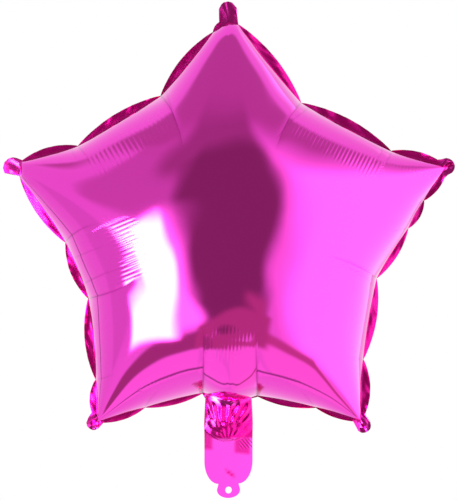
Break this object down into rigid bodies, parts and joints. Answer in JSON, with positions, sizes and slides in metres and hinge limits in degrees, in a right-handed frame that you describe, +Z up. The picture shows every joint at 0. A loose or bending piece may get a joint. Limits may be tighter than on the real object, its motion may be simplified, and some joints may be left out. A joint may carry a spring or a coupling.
{
  "type": "foil star balloon",
  "caption": "Gas-filled party balloon of metallised film, a puffed star with a gathered seam, a crumpled neck, a flat tab and an eyelet.",
  "frame": {"origin": "centre of the tail's eyelet, half way through the sealed film", "axes": "+Z up from the eyelet to the star's top tip, +X to the right of the front face, the front face looks along -Y"},
  "size_m": [0.398, 0.18, 0.4373],
  "materials": {
    "metallised_film": "mirror-bright metallised plastic film, tinted magenta"
  },
  "bodies": {
    "root": {"foil_star_balloon": "metallised_film"}
  },
  "joints": []
}
